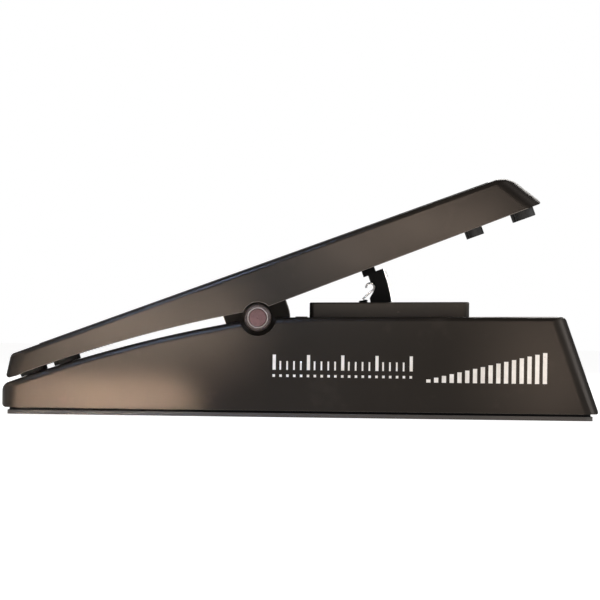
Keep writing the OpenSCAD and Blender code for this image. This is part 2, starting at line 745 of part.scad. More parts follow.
// A rubber bumper from z = 0 up, with a recess for its screw
module bumper(r, h) {
    difference() {
        cylinder(r = r, h = h);
        translate([0, 0, -eps]) cylinder(r = r * 0.5, h = h / 2 + eps);
        cylinder(r = bumper_screw_r, h = 2 * h);
    }
}
module toe_bumpers() color("#0d0d0d") on_treadle() both_sides()
    translate([toe_bumper[0], bumper_y, bumper_low(toe_bumper[0])]) bumper(toe_bumper[1], bumper_h);
module mid_bumpers() color("#0d0d0d") on_treadle() both_sides()
    translate([mid_bumper[0], bumper_y, bumper_low(mid_bumper[0]) + mid_gap])
        bumper(mid_bumper[1], bumper_h - mid_gap);
module heel_bumpers() color("#0d0d0d") both_sides() at_heel_bumpers() bumper(heel_bumper_r, heel_bumper_h);
module bumper_screws() color("#7a7a7a") both_sides() {
    on_treadle() for (b = [toe_bumper, mid_bumper])
        translate([b[0], bumper_y, bumper_low(b[0])])
            bumper_screw(b == mid_bumper ? mid_gap / 2 : 0, bumper_h, b[1]);
    at_heel_bumpers() bumper_screw(0, heel_bumper_h, heel_bumper_r);
}
module bumper_screw(up, h, r) {
    translate([0, 0, (h + up * 2) / 2 - m3[2]]) cylinder(r = r * 0.5 - 0.1, h = m3[2]);
    translate([0, 0, (h + up * 2) / 2 - m3[2]]) cylinder(r = bumper_screw_r, h = h / 2 + m3[2] + 3);
}

module pivot_bushings() color("#8a8582") both_sides() at_pivot()
    ring_y(axle_r + run_fit, bush_r, hub_in, side - 0.2);

// Round sector from the axle between two angles
module wedge(a0, a1, r) {
    polygon([[0, 0], for (i = [0:8]) 2 * r * [cos(a0 + (a1 - a0) * i / 8), sin(a0 + (a1 - a0) * i / 8)]]);
}
module arm_shape() {
    difference() {
        union() {
            intersection() {
                difference() {
                    circle(arc_r, $fn = 128);
                    circle(arc_r - arc_w, $fn = 128);
                }
                wedge(arc_low, arc_end, arc_r);
                translate([0, arc_top - 2 * arc_r]) square([2 * arc_r, 2 * arc_r]);
            }
            turn_to(arc_low, arm_mid_r) circle(arc_w / 2);
            translate([neck_x[0], notch_at.y + notch_mouth])
                square([neck_x[1] - neck_x[0], foot_z - notch_at.y - notch_mouth + foot_t]);
        }
        intersection() {
            circle(notch_inner_r, $fn = 128);
            translate([0, notch_at.y]) square([notch_inner_r, -notch_at.y + 1]);
        }
        translate(notch_at) circle(notch_r);
        // Way out of the notch for the hook's wire
        translate(notch_at) rotate(atan2(spring_a.y - notch_at.y, spring_a.x - notch_at.x))
            translate([0, -notch_r]) square([arc_w, 2 * notch_r]);
    }
}
module turn_to(a, r) {
    translate([r * cos(a), r * sin(a)]) children();
}
module sector_arm() color("#060606") on_treadle() difference() {
    union() {
        slab(-arm_t / 2, arm_t / 2) arm_shape();
        block([foot_x[0], -foot_half, foot_z], [foot_x[1], foot_half, foot_z + foot_t]);
    }
    at_arm_screws() cylinder(r = m3[0] + thread_gap, h = tread_h);
    band_screw_place() pin_x(band_screw_r, arc_r - 5, arc_r + 2);
}
module band_screw_place() {
    rotate([0, -band_screw_at, 0]) children();
}
module arm_screws() color("#6f6f6f") on_treadle() at_arm_screws() translate([0, 0, foot_z])
    screw(m3, foot_t + tread_plate / 2);
module drive_band() color("#b8b8b8") on_treadle() difference() {
    slab(-band_half, band_half) {
        intersection() {
            band_ring(arc_r);
            wedge(arc_low, asin(arc_top / arc_r) - 0.5, arc_r);
        }
        turn_to(arc_low, arm_mid_r) rotate(arc_low) intersection() {
            band_ring(arc_w / 2);
            translate([-arc_w, -2 * arc_w]) square([2 * arc_w, 2 * arc_w]);
        }
        translate(tail_from) rotate(atan2(spring_b.y - tail_from.y, spring_b.x - tail_from.x))
            square([norm(spring_b - tail_from) - band_t, band_t]);
    }
    band_screw_place() pin_x(band_screw_r + fit, arc_r - 5, arc_r + 2);
}
module band_ring(r) {
    difference() {
        circle(r + band_t, $fn = 128);
        circle(r, $fn = 128);
    }
}
module band_screw() color("#9a9a9a") on_treadle() band_screw_place() {
    pin_x(band_screw_r, arc_r - 4, arc_r + band_t);
    pin_x(2 * band_screw_r, arc_r + band_t, arc_r + band_t + 0.5);
}
// The tension spring lies along a chord inside the arm
module band_spring() color("#a8a8a8") on_treadle() spring_place()
    cylinder(r = spring_r, h = norm(spring_b - spring_a));
module spring_place() {
    v = spring_b - spring_a;
    translate([spring_a.x, 0, spring_a.y]) rotate([0, 90 - atan2(v.y, v.x), 0]) children();
}
module spring_hook() color("#e8e8e8") on_treadle() {
    translate([notch_at.x, 0, notch_at.y]) rotate([90, 0, 0]) rotate(hook_from)
        rotate_extrude(angle = hook_turn) translate([hook_r, 0]) circle(wire_r, $fn = 16);
    wire([[hook_end.x, 0, hook_end.y], [spring_tip.x, 0, spring_tip.y]], wire_r);
}

// ---- What turns with the potentiometer ----

module at_drum() {
    translate([drum_x, 0, drum_z]) children();
}
module pot_shaft() color("#d0d0d0") at_drum() pin_y(shaft_r, -drum_half - 2.5, pot_y + pot_l - 3.2);
module drum() color("#c7b46a") at_drum() difference() {
    union() {
        pin_y(drum_r, -drum_half, drum_half);
        both_sides() pin_y(flange_r, drum_half - flange_t, drum_half);
    }
    pin_y(shaft_r, -drum_half - eps, drum_half + eps);
    translate([0, 0, -2 * drum_r]) cylinder(r = drum_screw_r, h = 2 * drum_r);
}
module drum_set_screw() color("#444444") at_drum() translate([0, 0, -drum_r])
    grub(drum_screw_r, drum_r - shaft_r);
module drum_band() color("#b8b8b8") at_drum() difference() {
    ring_y(drum_r, loop_r, -band_half, band_half);
    translate([0, 0, -2 * drum_r]) cylinder(r = drum_screw_r + 4 * fit, h = 2 * drum_r);
}

chassis();
bottom_plate();
base_pad();
base_screws();
slot_cover();
cover_screws();
pivot_axle();
axle_set_screws();
thrust_washers();
brake_shoe();
tension_screw();
jack_plate();
plate_screws();
input_jack();
aux_jack();
output_jack();
jack_nuts();
jack_washers();
circuit_board();
board_screws();
pot_wires();
pot_bracket();
bracket_screws();
potentiometer();
pot_washer();
pot_nut();
treadle();
tread_mat();
toe_bumpers();
mid_bumpers();
heel_bumpers();
bumper_screws();
pivot_bushings();
sector_arm();
arm_screws();
drive_band();
band_screw();
band_spring();
spring_hook();
pot_shaft();
drum();
drum_set_screw();
drum_band();
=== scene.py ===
# %% [markdown]
# # A foot volume pedal
# A volume pedal is two castings, a few turned parts and some rubber. A treadle rocks on an axle
# and an arm beneath it turns a potentiometer. The frame that is loaded here holds every working
# part at its real size and place. This script keeps that frame: it gives the castings their
# rounded edges, the small parts their turned and moulded detail, and everything its finish.

# %% The frame
import json
import math

import bmesh
import bpy
from mathutils import Matrix, Vector


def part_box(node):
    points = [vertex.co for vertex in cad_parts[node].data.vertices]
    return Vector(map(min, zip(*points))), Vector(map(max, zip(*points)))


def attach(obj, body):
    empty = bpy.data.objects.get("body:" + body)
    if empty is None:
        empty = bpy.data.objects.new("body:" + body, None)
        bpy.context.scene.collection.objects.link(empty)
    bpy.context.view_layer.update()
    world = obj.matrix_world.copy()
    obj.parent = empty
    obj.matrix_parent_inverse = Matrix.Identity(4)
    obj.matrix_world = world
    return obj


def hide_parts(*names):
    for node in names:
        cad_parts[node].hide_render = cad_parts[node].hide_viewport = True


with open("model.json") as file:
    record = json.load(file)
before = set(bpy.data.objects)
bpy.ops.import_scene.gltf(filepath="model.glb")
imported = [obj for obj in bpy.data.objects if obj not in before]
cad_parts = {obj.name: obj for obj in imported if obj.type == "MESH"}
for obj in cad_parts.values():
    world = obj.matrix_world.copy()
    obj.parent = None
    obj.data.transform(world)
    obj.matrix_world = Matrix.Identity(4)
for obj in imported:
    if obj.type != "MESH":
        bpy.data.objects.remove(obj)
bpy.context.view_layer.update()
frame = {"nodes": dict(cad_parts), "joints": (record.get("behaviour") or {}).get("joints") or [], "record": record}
nodes = frame["nodes"]
joints = {joint["name"]: joint for joint in frame["joints"]}
MM = 0.001
pivot = Vector(joints["treadle_hinge"]["pos_m"])
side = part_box("chassis")[1].y
print("frame:", len(nodes), "nodes, pivot", [round(v / MM, 1) for v in pivot])

# %% [markdown]
# ## The camera
# The side of a pedal is a drawing of how it works, so the camera looks straight at it. It could
# stand close, but then the far wall would show inside the near one. It stands far back with a long
# lens instead, so that the walls line up. It is turned a little about its own axis, and moved so
# that this turn leaves the pedal's middle in the middle.

# %% Camera
view_width = 286.3 * MM
view_distance = 4.0
view_height = 56.1 * MM
view_roll = math.radians(0.746)
camera = bpy.data.objects.new("camera", bpy.data.cameras.new("camera"))
camera.data.lens = camera.data.sensor_width * view_distance / view_width
camera.data.clip_end = 20
camera.location = (-view_height * math.sin(view_roll), -side - view_distance, view_height)
camera.rotation_euler = (math.pi / 2, 0, 0)
camera.rotation_euler.rotate_axis("Z", view_roll)
bpy.context.scene.collection.objects.link(camera)
bpy.context.scene.camera = camera
print("lens", round(camera.data.lens), "mm")

# %% [markdown]
# ## The room
# Black paint has almost no colour of its own, so what it shows is the room. A bright even room
# would turn the whole pedal grey. Here the room is white only where the camera sees it and dim to
# the paint, and the floor is a pale sheet that glows as if lit from below.

# %% Stage helpers
def new_object(name, bm):
    """A mesh object at the origin, made from a bmesh in place."""
    mesh = bpy.data.meshes.new(name)
    bm.to_mesh(mesh)
    bm.free()
    made = bpy.data.objects.new(name, mesh)
    bpy.context.scene.collection.objects.link(made)
    return made


def area_light(name, place, target, size, power, colour, spread=180):
    """A rectangular lamp that faces a point and isn't seen itself."""
    lamp = bpy.data.lights.new(name, "AREA")
    lamp.shape = "RECTANGLE"
    lamp.size, lamp.size_y = size
    lamp.energy = power
    lamp.color = colour
    lamp.spread = math.radians(spread)
    made = bpy.data.objects.new(name, lamp)
    made.location = place
    made.rotation_euler = (Vector(target) - Vector(place)).to_track_quat("-Z", "Y").to_euler()
    made.visible_camera = False
    bpy.context.scene.collection.objects.link(made)


def background(tree, colour, strength):
    """One even colour of the surroundings."""
    node = tree.nodes.new("ShaderNodeBackground")
    node.inputs["Color"].default_value = (*colour, 1)
    node.inputs["Strength"].default_value = strength
    return node.outputs[0]


# %% Floor and room
floor_half = 6.0
floor_drop = 0.2 * MM
room_glow = 0.10
floor_bm = bmesh.new()
bmesh.ops.create_grid(floor_bm, x_segments=1, y_segments=1, size=floor_half)
floor = new_object("floor", floor_bm)
floor.location.z = -floor_drop

world = bpy.data.worlds.new("room")
bpy.context.scene.world = world
world.use_nodes = True
room = world.node_tree
room.nodes.clear()
seen = room.nodes.new("ShaderNodeLightPath")
both = room.nodes.new("ShaderNodeMixShader")
out = room.nodes.new("ShaderNodeOutputWorld")
room.links.new(seen.outputs["Is Camera Ray"], both.inputs["Fac"])
room.links.new(background(room, (0.92, 0.94, 1.0), room_glow), both.inputs[1])
room.links.new(background(room, (1, 1, 1), 1.0), both.inputs[2])
room.links.new(both.outputs[0], out.inputs[0])
bpy.context.scene.view_settings.view_transform = "Standard"
print("floor", 2 * floor_half, "m square")

# %% [markdown]
# ## The lamps
# Three broad lamps, at the left, the right and behind, draw the pedal's edges. They could light
# the near side too, but it would turn evenly grey. Instead five narrow lamps stand in front of it,
# each straight ahead of the place where the satin paint answers with a soft patch. A blue window
# shines from the front and above on the rounded top edges, and a weak lamp reaches round the
# heel's corner.

# %% Lamps
front = -side - 350 * MM
milliwatts_a_watt = 1000
heel_top = (-0.06, -side, 0.05)
heel_end = (-0.14, -side, 0.03)
area_light("left", (-1.7, -0.9, 1.3), (0, 0, 0), (1.0, 1.0), 26, (1.0, 0.96, 0.90))
area_light("right", (1.8, -0.5, 1.0), (0, 0, 0), (1.0, 1.0), 22, (0.95, 0.97, 1.0))
area_light("behind", (0.5, 1.9, 1.3), (0, 0, 0), (1.4, 1.0), 30, (1.0, 0.98, 0.95))
for name, x, z, size, power, colour, spread in (
    ("heel_low", -98, 8, (0.09, 0.01), 5.2, (1.0, 0.80, 0.63), 6),
    ("heel_high", -85, 44, (0.10, 0.02), 7.1, (1.0, 0.88, 0.77), 12),
    ("tread_middle", -10, 70, (0.10, 0.02), 0.8, (0.65, 0.82, 1.0), 16),
    ("tread_toe", 50, 90, (0.10, 0.02), 4.8, (1.0, 0.90, 0.83), 16),
    ("toe_low", 118, 28, (0.03, 0.03), 1.6, (1.0, 0.87, 0.78), 14),
):
    watts = power / milliwatts_a_watt
    area_light(name, (x * MM, front, z * MM), (x * MM, 0, z * MM), size, watts, colour, spread)
area_light("window", (-0.17, -0.33, 0.40), heel_top, (0.10, 0.03), 0.035, (0.35, 0.55, 1.0), 24)
area_light("heel_corner", (-0.31, -0.36, 0.03), heel_end, (0.02, 0.10), 0.003, (1.0, 0.9, 0.8), 20)
print("lamps:", len(bpy.data.lights))

# %% [markdown]
# ## Finishes
# A finish is a small node tree. Its colour could be one flat value, but no painted or moulded
# surface is: dust, handling and the mould make it drift. One helper lays out the same tree every
# time, with a broad noise for the drift of colour and gloss and a fine one for the relief, so each
# finish only states its own numbers.

# %% Finish helper
def noise(tree, coords, scale, detail, roughness=0.5):
    """An uneven pattern between 0 and 1."""
    node = tree.nodes.new("ShaderNodeTexNoise")
    node.inputs["Scale"].default_value = scale
    node.inputs["Detail"].default_value = detail
    node.inputs["Roughness"].default_value = roughness
    tree.links.new(coords, node.inputs["Vector"])
    return node.outputs["Fac"]


def ranged(tree, value, low, high, from_low=0.3, from_high=0.7):
    """A value stretched from one range to another. A noise seldom leaves 0.3 to 0.7."""
    node = tree.nodes.new("ShaderNodeMapRange")
    node.inputs["From Min"].default_value = from_low
    node.inputs["From Max"].default_value = from_high
    node.inputs["To Min"].default_value = low
    node.inputs["To Max"].default_value = high
    tree.links.new(value, node.inputs["Value"])
    return node.outputs["Result"]


def mapped(tree, coords, scale):
    """Coordinates scaled by direction, which draws a pattern out into streaks."""
    node = tree.nodes.new("ShaderNodeMapping")
    node.inputs["Scale"].default_value = scale
    tree.links.new(coords, node.inputs["Vector"])
    return node.outputs[0]


def mixed(tree, factor, first, second):
    """A colour between two, where each may be a colour or another node's output."""
    node = tree.nodes.new("ShaderNodeMix")
    node.data_type = "RGBA"
    tree.links.new(factor, node.inputs["Factor"])
    for socket, value in (("A", first), ("B", second)):
        if isinstance(value, tuple):
            node.inputs[socket].default_value = (*value, 1)
        else:
            tree.links.new(value, node.inputs[socket])
    return node.outputs["Result"]


def finish(name, dark, light, rough, metal=0.0, grain=900, cloud=18, bump=0.15, depth=0.05 * MM,
           specular=0.5, tint=(1, 1, 1), stretch=(1, 1, 1), worn=None):
    """A material whose colour drifts from dark to light and whose roughness drifts within rough."""
    made = bpy.data.materials.new(name)
    made.use_nodes = True
    tree = made.node_tree
    shader = tree.nodes["Principled BSDF"]
    coords = tree.nodes.new("ShaderNodeTexCoord").outputs["Object"]
    fine = noise(tree, mapped(tree, coords, stretch), grain, detail=3.0)
    broad = noise(tree, coords, cloud, detail=4.0, roughness=0.6)
    colour = mixed(tree, ranged(tree, broad, 0, 1), dark, light)
    gloss = ranged(tree, broad, rough[0], rough[1])
    if worn:
        patches = noise(tree, coords, worn["scale"], detail=5.0, roughness=0.65)
        speck = ranged(tree, patches, 0, 1, worn["from"], worn["to"])
        colour = mixed(tree, speck, colour, worn["colour"])
    tree.links.new(colour, shader.inputs["Base Color"])
    tree.links.new(gloss, shader.inputs["Roughness"])
    relief = tree.nodes.new("ShaderNodeBump")
    relief.inputs["Strength"].default_value = bump
    relief.inputs["Distance"].default_value = depth
    tree.links.new(fine, relief.inputs["Height"])
    tree.links.new(relief.outputs["Normal"], shader.inputs["Normal"])
    shader.inputs["Metallic"].default_value = metal
    shader.inputs["Specular IOR Level"].default_value = specular
    shader.inputs["Specular Tint"].default_value = (*tint, 1)
    return made


# %% [markdown]
# The powder coat is the finish that matters most. It is nearly black with a warm cast, satin, and
# carries faint smudges where shoes have rubbed it. The narrow bevels get a lighter finish of their
# own.

# %% Paint and rubber
warm_sheen = (1.0, 0.86, 0.74)
coat_wear = {"scale": 55, "from": 0.60, "to": 0.78, "colour": (0.020, 0.016, 0.013)}
powder_coat = finish("powder_coat", (0.0075, 0.006, 0.005), (0.013, 0.0105, 0.0085), (0.34, 0.44),
                     grain=2400, cloud=14, bump=0.03, specular=0.32, tint=warm_sheen,
                     worn=coat_wear)
# painted shade: a darker, duller copy of the coat for the hub discs and the gap around the axle
painted_shade_coat = finish("painted_shade_coat", (0.003, 0.0026, 0.0022), (0.008, 0.0066, 0.0055), (0.5, 0.62),
                     grain=2400, bump=0.06, specular=0.14, tint=warm_sheen)
# a lighter coat for the narrow bevels on the castings' chosen edges
light_bevel_coat = finish("light_bevel_coat", (0.10, 0.085, 0.07), (0.26, 0.22, 0.19), (0.28, 0.42), metal=0.4,
                   grain=1500, cloud=60)
cover_paint = finish("cover_paint", (0.028, 0.024, 0.020), (0.042, 0.036, 0.031), (0.42, 0.52),
                     grain=2000, cloud=30, tint=warm_sheen,
                     worn={"scale": 420, "from": 0.66, "to": 0.72, "colour": (0.12, 0.10, 0.085)})
black_rubber = finish("black_rubber", (0.010, 0.010, 0.009), (0.020, 0.018, 0.016), (0.55, 0.7),
                      grain=1800)
pad_rubber = finish("pad_rubber", (0.050, 0.042, 0.036), (0.068, 0.058, 0.050), (0.5, 0.65),
                    grain=1500, cloud=25)
tread_rubber = finish("tread_rubber", (0.012, 0.012, 0.012), (0.026, 0.025, 0.024), (0.65, 0.8),
                      grain=3000, bump=0.4,
                      worn={"scale": 90, "from": 0.58, "to": 0.8, "colour": (0.06, 0.055, 0.05)})
# the bottom plate's black paint, made darker and duller than the coat so that the line between chassis and pad is
# painted shade
sheet_paint_and_shade = finish("sheet_paint_and_shade", (0.003, 0.003, 0.003), (0.006, 0.006, 0.006), (0.6, 0.7),
                       specular=0.1)
arm_plastic = finish("arm_plastic", (0.0015, 0.0015, 0.0015), (0.004, 0.004, 0.004), (0.4, 0.55),
                     grain=1200, specular=0.08)
jack_plastic = finish("jack_plastic", (0.014, 0.014, 0.014), (0.022, 0.022, 0.022), (0.25, 0.35))
white_nylon = finish("white_nylon", (0.74, 0.72, 0.66), (0.82, 0.80, 0.74), (0.4, 0.5), cloud=80)
solder_mask = finish("solder_mask", (0.02, 0.12, 0.05), (0.03, 0.17, 0.07), (0.25, 0.35), cloud=200)
insulation = finish("insulation", (0.42, 0.05, 0.04), (0.5, 0.08, 0.06), (0.35, 0.45), cloud=90)
print_ink = finish("print_ink", (0.76, 0.70, 0.64), (0.92, 0.86, 0.80), (0.45, 0.6), grain=4000,
                   cloud=260, bump=0.2,
                   worn={"scale": 500, "from": 0.66, "to": 0.74, "colour": (0.40, 0.34, 0.29)})
print("paints and rubbers:", len(bpy.data.materials))

# %% [markdown]
# Metals have no colour beneath their shine, so their finish is mostly roughness: turned ends are
# dull, springs and nuts are bright, and a brushed plate is rough along one direction only.

# %% Metals
turned_steel = finish("turned_steel", (0.105, 0.050, 0.045), (0.17, 0.085, 0.078), (0.42, 0.55),
                      metal=0.35, grain=1400, cloud=500)
bearing_ring = finish("bearing_ring", (0.022, 0.016, 0.013), (0.12, 0.09, 0.08), (0.35, 0.55),
                      metal=0.6, grain=2200, cloud=1300, bump=0.8)
bright_rim = finish("bright_rim", (0.22, 0.18, 0.16), (0.46, 0.40, 0.37), (0.3, 0.45), metal=0.7,
                    grain=1800, cloud=900)
zinc_steel = finish("zinc_steel", (0.42, 0.41, 0.40), (0.60, 0.59, 0.57), (0.28, 0.42), metal=1.0,
                    cloud=120)
black_steel = finish("black_steel", (0.03, 0.03, 0.03), (0.06, 0.06, 0.06), (0.35, 0.5), metal=0.8)
bright_wire = finish("bright_wire", (0.40, 0.39, 0.38), (0.62, 0.61, 0.60), (0.2, 0.35), metal=1.0,
                     cloud=700)
dark_wire = finish("dark_wire", (0.02, 0.02, 0.02), (0.07, 0.07, 0.068), (0.3, 0.45), metal=0.9,
                   cloud=700)
nickel_plate = finish("nickel_plate", (0.66, 0.64, 0.60), (0.8, 0.78, 0.74), (0.14, 0.24),
                      metal=1.0, cloud=150)
band_steel = finish("band_steel", (0.5, 0.5, 0.5), (0.65, 0.65, 0.64), (0.2, 0.35), metal=1.0,
                    cloud=200)
brushed_panel = finish("brushed_panel", (0.30, 0.30, 0.30), (0.40, 0.40, 0.40), (0.32, 0.42),
                       metal=1.0, grain=700, stretch=(1, 0.03, 1), bump=0.3)
turned_brass = finish("turned_brass", (0.60, 0.46, 0.22), (0.74, 0.60, 0.32), (0.2, 0.35),
                      metal=1.0, cloud=200)

floor_glow = 0.93
floor_sheet = finish("floor_sheet", (0.30, 0.30, 0.30), (0.32, 0.32, 0.32), (0.8, 0.9), grain=40)
sheet_shader = floor_sheet.node_tree.nodes["Principled BSDF"]
sheet_shader.inputs["Emission Color"].default_value = (1, 0.995, 0.99, 1)
sheet_shader.inputs["Emission Strength"].default_value = floor_glow
floor.data.materials.append(floor_sheet)
print("finishes:", len(bpy.data.materials))

# %% [markdown]
# ## Edges
# A working model has sharp corners and a real part hasn't. Most parts can be softened in one way:
# copy the frame's mesh, join its loose triangles, dissolve the flat ones into whole faces, and
# bevel every edge that turns sharply. The bevel is small, and it is what makes a part catch light.

# %% Mesh helpers
flat_angle = math.radians(0.8)
weld_gap = 2e-6
crease = 32


def joined_copy(node):
    """A bmesh of a frame node, its loose triangles joined and its flat faces whole."""
    bm = bmesh.new()
    bm.from_mesh(nodes[node].data)
    bmesh.ops.remove_doubles(bm, verts=bm.verts, dist=weld_gap)
    bmesh.ops.dissolve_limit(bm, angle_limit=flat_angle, verts=bm.verts, edges=bm.edges)
    return bm


def turn_of(edge):
    """How sharply two faces turn at an edge, in degrees, or 0 on an open edge."""
    return math.degrees(edge.calc_face_angle(0)) if len(edge.link_faces) == 2 else 0


def middle(edge):
    """The point halfway along an edge."""
    return (edge.verts[0].co + edge.verts[1].co) / 2


def soften(bm, width, segments=2, sharpest=crease, where=None, material=-1):
    """Bevels the edges that turn by more than a limit, and says how many there were."""
    edges = [e for e in bm.edges if turn_of(e) > sharpest and (where is None or where(e))]
    bmesh.ops.bevel(bm, geom=edges, offset=width, offset_type="OFFSET", segments=segments,
                    profile=0.5, affect="EDGES", clamp_overlap=True, material=material)
    return len(edges)


def shade(bm, sharpest=crease):
    """Smooth faces, with sharp edges kept."""
    bm.normal_update()
    for face in bm.faces:
        face.smooth = True
    for edge in bm.edges:
        edge.smooth = turn_of(edge) < sharpest


def applied(made):
    """Makes an object's modifiers part of its mesh."""
    graph = bpy.context.evaluated_depsgraph_get()
    mesh = bpy.data.meshes.new_from_object(made.evaluated_get(graph))
    made.modifiers.clear()
    made.data = mesh
    return made


def settle(made):
    """Weights an object's normals, so that flat faces shade flat beside their rounds."""
    weighted = made.modifiers.new("weighted", "WEIGHTED_NORMAL")
    weighted.keep_sharp = True
    return applied(made)


# %% Fitting helpers
def body_of_node(node):
    """The body that a node belongs to."""
    bodies = frame["record"]["behaviour"]["bodies"]
    return next(body for body, members in bodies.items() if node in members)


def fit_out(made, node, *materials):
    """Finishes a piece that stands for a node. Its faces already say which material is theirs."""
    for material in materials:
        made.data.materials.append(material)
    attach(made, body_of_node(node))
    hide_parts(node)
    return made


def softened(node, width, material, segments=2, sharpest=crease, where=None):
    """A frame node with its edges softened and a finish."""
    bm = joined_copy(node)
    count = soften(bm, width, segments, sharpest, where)
    shade(bm)
    made = settle(new_object(node + "_soft", bm))
    print(node, "edges", count, "faces", len(made.data.polygons))
    return fit_out(made, node, material)


# %% [markdown]
# ## The two castings
# The chassis and the treadle are die castings with generous rounds: about 3 mm along their top
# edges and 7 mm at their ends. Beveling the frame's own mesh would fail, because its bosses, slots
# and threads lie too close to those edges. So the outside is made again as a plain form, which is a
# block cut by every flat of the side outline and then rounded, and the frame's mesh is cut to that
# form. What is inside stays as it was, and the outside gets its rounds.

# %% Outline planes
outline_flat = math.radians(0.05)


def cut(bm, point, normal):
    """Cuts away what lies in front of a plane and closes the cut."""
    found = bmesh.ops.bisect_plane(bm, geom=bm.verts[:] + bm.edges[:] + bm.faces[:], plane_co=point,
                                   plane_no=normal, clear_outer=True)
    rim = [e for e in found["geom_cut"] if isinstance(e, bmesh.types.BMEdge)]
    if rim:
        bmesh.ops.contextual_create(bm, geom=rim)


def outline_planes(node, reach=7.5 * MM, shortest=3 * MM):
    """The flats of a casting's side outline longer than the shortest, each as a point and a normal."""
    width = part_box(node)[1].y
    rims = [v.co for v in nodes[node].data.vertices if abs(v.co.y) > width - reach]
    bm = bmesh.new()
    for x, z in sorted({(round(v.x, 6), round(v.z, 6)) for v in rims}):
        for y in (-width, width):
            bm.verts.new((x, y, z))
    bmesh.ops.convex_hull(bm, input=bm.verts[:])
    bmesh.ops.dissolve_limit(bm, angle_limit=outline_flat, verts=bm.verts[:], edges=bm.edges[:])
    bm.normal_update()
    found = [(f.calc_center_median(), f.normal.copy(), f.calc_area() / 2 / width)
             for f in bm.faces if abs(f.normal.y) < 0.5]
    bm.free()
    return [(point, normal) for point, normal, length in found if length > shortest]


# %% Rounded forms
ink_depth = 0.03 * MM
room_around = Vector((0.1, 0, 0.1))
underside = -0.1
squarely = 0.9
corner_turn = 15


def form(node, end_round, top_round, corner_rounds, end_slope, segments=6):
    """The outside of a casting, with its rounds and no inside."""
    low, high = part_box(node)
    size = high - low + room_around
    size.y = 2 * (high.y - ink_depth)
    bm = bmesh.new()
    block = Matrix.Translation((low + high) / 2) @ Matrix.Diagonal((*size, 1))
    bmesh.ops.create_cube(bm, size=1, matrix=block)
    for point, normal in outline_planes(node):
        if normal.z > underside:
            cut(bm, point - normal * ink_depth, normal)
    bm.normal_update()
    weights = bm.edges.layers.float.new("bevel_weight_edge")
    for edge in bm.edges:
        normals = [f.normal for f in edge.link_faces]
        outer = [n for n in normals if abs(n.y) < squarely]
        place = middle(edge)
        if len(outer) == 1 and outer[0].z > underside:
            at_end = abs(outer[0].x) > end_slope
            edge[weights] = (end_round if at_end else top_round(place.x)) / end_round
        elif (len(outer) == 2 and turn_of(edge) > corner_turn
              and min(n.z for n in normals) > underside):
            edge[weights] = corner_rounds[0 if place.x < 0 else 1] / end_round
    made = new_object(node + "_form", bm)
    bevel = made.modifiers.new("rounds", "BEVEL")
    bevel.limit_method = "WEIGHT"
    bevel.width = end_round
    bevel.segments = segments
    bevel.profile = 0.5
    bevel.use_clamp_overlap = True
    return applied(made)


# %% Casting helper
hub_face = side - 5 * MM
hub_reach = 17 * MM
casting_flat = math.radians(0.3)
casting_crease = 50


def gets_painted_shade(face):
    """Tells the faces of the hub discs and of the gap around the axle, whose coat is darkened as painted shade."""
    place = face.calc_center_median()
    near_axle = (place - pivot).xz.length < hub_reach
    return abs(place.y) < side - MM and near_axle and face.normal.z < squarely


def casting(node, shape, edge_width, edges_at):
    """A frame node cut to its rounded form, with narrow lighter bevels on the chosen edges and painted shade near
    the axle.
    """
    bm = bmesh.new()
    bm.from_mesh(nodes[node].data)
    bmesh.ops.remove_doubles(bm, verts=bm.verts, dist=weld_gap)
    made = new_object(node + "_casting", bm)
    inside = made.modifiers.new("inside", "BOOLEAN")
    inside.operation = "INTERSECT"
    inside.solver = "EXACT"
    inside.object = shape
    applied(made)
    bpy.data.objects.remove(shape)
    bm = bmesh.new()
    bm.from_mesh(made.data)
    bmesh.ops.remove_doubles(bm, verts=bm.verts, dist=weld_gap)
    bmesh.ops.dissolve_limit(bm, angle_limit=casting_flat, verts=bm.verts, edges=bm.edges)
    # faces near the axle take the darker coat, material 2, which is painted shade
    for face in bm.faces:
        face.material_index = 2 if gets_painted_shade(face) else 0
    # the chosen edges get narrow bevels in the lighter coat, material 1
    count = soften(bm, edge_width, 1, casting_crease, edges_at, 1)
    shade(bm)
    opened = sum(1 for e in bm.edges if len(e.link_faces) != 2)
    bm.to_mesh(made.data)
    bm.free()
    settle(made)
    print(node, "worn edges", count, "open", opened, "faces", len(made.data.polygons))
    return fit_out(made, node, powder_coat, light_bevel_coat, painted_shade_coat)


# %% Chassis and treadle
plan_round = 7.2 * MM
light_bevel_width = 0.5 * MM
same_plane = 0.01 * MM


def chassis_top(x):
    """The chassis top edge is rounder at the heel than at the toe."""
    return (3.3 - 1.5 * min(1, max(0, (x / MM + 20) / 120))) * MM


def treadle_top(x):
    """The treadle's top edge has one round all along."""
    return 2.5 * MM


def on_side_face(edge):
    """Tells the edges that lie in a casting's flat sides."""
    return all(abs(abs(v.co.y) - side + ink_depth) < same_plane for v in edge.verts)


def on_treadle_face(edge):
    """The side face's edges and the rim of the hub discs."""
    return on_side_face(edge) or all(abs(abs(v.co.y) - hub_face) < same_plane for v in edge.verts)


chassis_form = form("chassis", plan_round, chassis_top, (3.0 * MM, 1.9 * MM), end_slope=0.8)
casting("chassis", chassis_form, light_bevel_width, on_side_face)
treadle_form = form("treadle", plan_round, treadle_top, (1.6 * MM, 5.8 * MM), end_slope=0.5)
casting("treadle", treadle_form, light_bevel_width, on_treadle_face)

# %% [markdown]
# ## The turned parts
# The axle and its two bushings come off a lathe, so they are made as a lathe makes them: half of
# the outline is drawn from the centre outwards and spun about the axis. The axle has a centre mark
# and a chamfer at each end. The bushing's rim is knurled, which is a ring of small teeth: every
# other point of the rim is pulled in a little.

